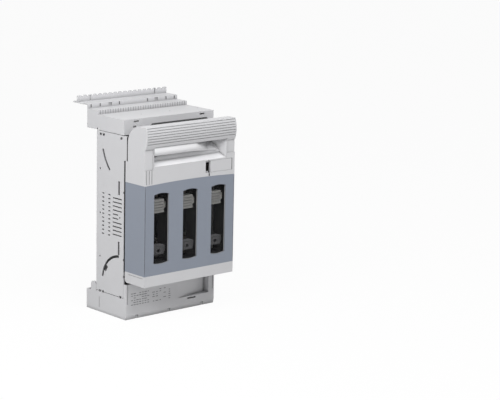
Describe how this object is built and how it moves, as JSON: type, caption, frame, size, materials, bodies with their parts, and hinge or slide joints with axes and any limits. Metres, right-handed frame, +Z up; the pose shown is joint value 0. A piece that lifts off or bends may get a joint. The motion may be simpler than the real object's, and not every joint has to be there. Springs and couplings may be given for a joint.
{
  "type": "fuse switch disconnector",
  "caption": "Upright moulded switch housing with a hinged windowed lid, fuse jaws and arc chutes inside, claws behind for busbars and a comb-edged cover on top.",
  "frame": {"origin": "on the standing surface, under the middle of the overall box", "axes": "+Z up along the fuses, +X to the right seen from the front, +Y to the back, towards the busbars; the lid faces -Y"},
  "size_m": [0.184, 0.1925, 0.3465],
  "materials": {
    "light_grey_moulding": "fine satin moulding",
    "blue_grey_moulding": "fine satin moulding",
    "black_moulding": "matt moulding",
    "smoked_window": "clear smoked pane",
    "pale_grip": "satin moulding",
    "dark_grip": "satin moulding",
    "silvered_copper": "silver-plated copper",
    "zinc_steel": "zinc-plated steel",
    "fibre_board": "grey fibre"
  },
  "bodies": {
    "housing": {"chassis": "black_moulding", "side_wall_left": "light_grey_moulding", "side_wall_right": "light_grey_moulding", "upper_contact_1": "silvered_copper", "lower_contact_1": "silvered_copper", "arc_chute_upper_1": "fibre_board", "arc_chute_lower_1": "fibre_board", "terminal_bolt_1": "zinc_steel", "terminal_nut_1": "zinc_steel", "busbar_claw_1": "silvered_copper", "claw_screw_1": "zinc_steel", "upper_contact_2": "silvered_copper", "lower_contact_2": "silvered_copper", "arc_chute_upper_2": "fibre_board", "arc_chute_lower_2": "fibre_board", "terminal_bolt_2": "zinc_steel", "terminal_nut_2": "zinc_steel", "busbar_claw_2": "silvered_copper", "claw_screw_2": "zinc_steel", "upper_contact_3": "silvered_copper", "lower_contact_3": "silvered_copper", "arc_chute_upper_3": "fibre_board", "arc_chute_lower_3": "fibre_board", "terminal_bolt_3": "zinc_steel", "terminal_nut_3": "zinc_steel", "busbar_claw_3": "silvered_copper", "claw_screw_3": "zinc_steel"},
    "lid": {"lid_shell": "light_grey_moulding", "lid_panel": "blue_grey_moulding", "window_1": "smoked_window", "upper_grip_1": "pale_grip", "lower_grip_1": "dark_grip", "window_2": "smoked_window", "upper_grip_2": "pale_grip", "lower_grip_2": "dark_grip", "window_3": "smoked_window", "upper_grip_3": "pale_grip", "lower_grip_3": "dark_grip", "hinge_pin_left": "zinc_steel", "hinge_pin_right": "zinc_steel"},
    "lock": {"lock_slide": "light_grey_moulding"},
    "upper_cover": {"top_cover": "light_grey_moulding"},
    "lower_cover": {"bottom_cover": "light_grey_moulding"}
  },
  "joints": [
    {"name": "lid_hinge", "type": "hinge", "parent": "housing", "child": "lid", "pos_m": [0, -0.0505, 0.0687], "axis": [1, 0, 0], "range_deg": [0, 60]},
    {"name": "lock_travel", "type": "slide", "parent": "lid", "child": "lock", "axis": [-1, 0, 0], "range_m": [0, 0.008]},
    {"name": "top_cover_lift", "type": "slide", "parent": "housing", "child": "upper_cover", "axis": [0, 0, 1], "range_m": [0, 0.04]},
    {"name": "bottom_cover_pull", "type": "slide", "parent": "housing", "child": "lower_cover", "axis": [0, 0, -1], "range_m": [0, 0.04]}
  ]
}
